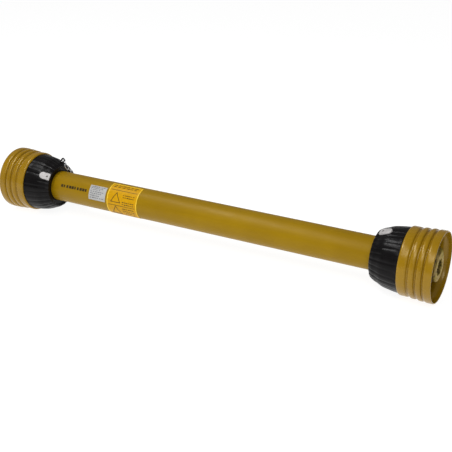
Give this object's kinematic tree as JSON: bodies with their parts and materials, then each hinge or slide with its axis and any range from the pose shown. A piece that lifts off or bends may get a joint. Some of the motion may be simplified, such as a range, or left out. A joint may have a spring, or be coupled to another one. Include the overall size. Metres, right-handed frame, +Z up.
{
  "type": "universal joint shaft",
  "caption": "Telescopic drive shaft with a universal joint and splined yoke at each end, inside a yellow plastic guard with ribbed cones and black collars.",
  "frame": {"origin": "on the shaft's axis at mid length, with the shaft closed and straight", "axes": "+X along the shaft from the outer-tube half to the inner-tube half, +Z up"},
  "size_m": [1.0484, 0.1793, 0.143],
  "materials": {
    "guard_yellow": "moulded polyethylene, mustard yellow, satin",
    "collar_black": "moulded plastic, black, satin",
    "nylon_white": "white plastic, satin",
    "forged_steel": "forged, olive passivated",
    "bearing_steel": "ground",
    "spring_steel": "oiled",
    "tube_steel": "drawn tube, greased",
    "seal_rubber": "matt",
    "chain_zinc": "bright zinc plated",
    "label_silver": "silver film sticker",
    "label_amber": "amber film sticker"
  },
  "bodies": {
    "guard_outer": {"outer_guard_tube": "guard_yellow", "left_collar": "collar_black", "left_cone": "guard_yellow", "left_guard_ring": "nylon_white", "left_lock_tab": "nylon_white", "info_label": "label_silver", "warning_label": "label_amber", "left_chain": "chain_zinc", "left_chain_hook": "chain_zinc"},
    "drive_outer": {"outer_profile_tube": "tube_steel", "left_tube_yoke": "forged_steel", "left_roll_pin": "spring_steel", "left_cup_tube_1": "bearing_steel", "left_cup_tube_2": "bearing_steel", "left_circlip_tube_1": "spring_steel", "left_circlip_tube_2": "spring_steel"},
    "left_cross_body": {"left_cross": "bearing_steel", "left_grease_nipple": "bearing_steel", "left_seal_yoke_1": "seal_rubber", "left_seal_yoke_2": "seal_rubber", "left_seal_tube_1": "seal_rubber", "left_seal_tube_2": "seal_rubber"},
    "left_yoke_body": {"left_yoke": "forged_steel", "left_pin_spring": "spring_steel", "left_cup_yoke_1": "bearing_steel", "left_cup_yoke_2": "bearing_steel", "left_circlip_yoke_1": "spring_steel", "left_circlip_yoke_2": "spring_steel"},
    "left_pin_body": {"left_push_pin": "bearing_steel", "left_pin_clip": "spring_steel"},
    "drive_inner": {"inner_profile_tube": "tube_steel", "right_tube_yoke": "forged_steel", "right_roll_pin": "spring_steel", "right_cup_tube_1": "bearing_steel", "right_cup_tube_2": "bearing_steel", "right_circlip_tube_1": "spring_steel", "right_circlip_tube_2": "spring_steel"},
    "guard_inner": {"inner_guard_tube": "guard_yellow", "right_collar": "collar_black", "right_cone": "guard_yellow", "right_guard_ring": "nylon_white", "right_lock_tab": "nylon_white"},
    "right_cross_body": {"right_cross": "bearing_steel", "right_grease_nipple": "bearing_steel", "right_seal_yoke_1": "seal_rubber", "right_seal_yoke_2": "seal_rubber", "right_seal_tube_1": "seal_rubber", "right_seal_tube_2": "seal_rubber"},
    "right_yoke_body": {"right_yoke": "forged_steel", "right_pin_spring": "spring_steel", "right_cup_yoke_1": "bearing_steel", "right_cup_yoke_2": "bearing_steel", "right_circlip_yoke_1": "spring_steel", "right_circlip_yoke_2": "spring_steel"},
    "right_pin_body": {"right_push_pin": "bearing_steel", "right_pin_clip": "spring_steel"}
  },
  "joints": [
    {"name": "drive_spin", "type": "hinge", "parent": "guard_outer", "child": "drive_outer", "pos_m": [-0.3917, 0, 0], "axis": [1, 0, 0], "continuous": true},
    {"name": "left_cross_tilt", "type": "hinge", "parent": "drive_outer", "child": "left_cross_body", "pos_m": [-0.442, 0, 0], "axis": [0, 0, 1], "range_deg": [-17, 17]},
    {"name": "left_yoke_tilt", "type": "hinge", "parent": "left_cross_body", "child": "left_yoke_body", "pos_m": [-0.442, 0, 0], "axis": [0, 1, 0], "range_deg": [-17, 17]},
    {"name": "left_pin_press", "type": "slide", "parent": "left_yoke_body", "child": "left_pin_body", "axis": [0, 1, 0], "range_m": [0, 0.006], "stiffness_N_per_m": 1500, "springref_m": -0.004, "deforming": ["left_pin_spring"]},
    {"name": "telescope", "type": "slide", "parent": "drive_outer", "child": "drive_inner", "axis": [1, 0, 0], "range_m": [0, 0.36]},
    {"name": "inner_guard_spin", "type": "hinge", "parent": "drive_inner", "child": "guard_inner", "pos_m": [0.3917, 0, 0], "axis": [1, 0, 0], "continuous": true},
    {"name": "right_cross_tilt", "type": "hinge", "parent": "drive_inner", "child": "right_cross_body", "pos_m": [0.442, 0, 0], "axis": [0, 0, 1], "range_deg": [-17, 17]},
    {"name": "right_yoke_tilt", "type": "hinge", "parent": "right_cross_body", "child": "right_yoke_body", "pos_m": [0.442, 0, 0], "axis": [0, 1, 0], "range_deg": [-17, 17]},
    {"name": "right_pin_press", "type": "slide", "parent": "right_yoke_body", "child": "right_pin_body", "axis": [0, -1, 0], "range_m": [0, 0.006], "stiffness_N_per_m": 1500, "springref_m": -0.004, "deforming": ["right_pin_spring"]}
  ]
}
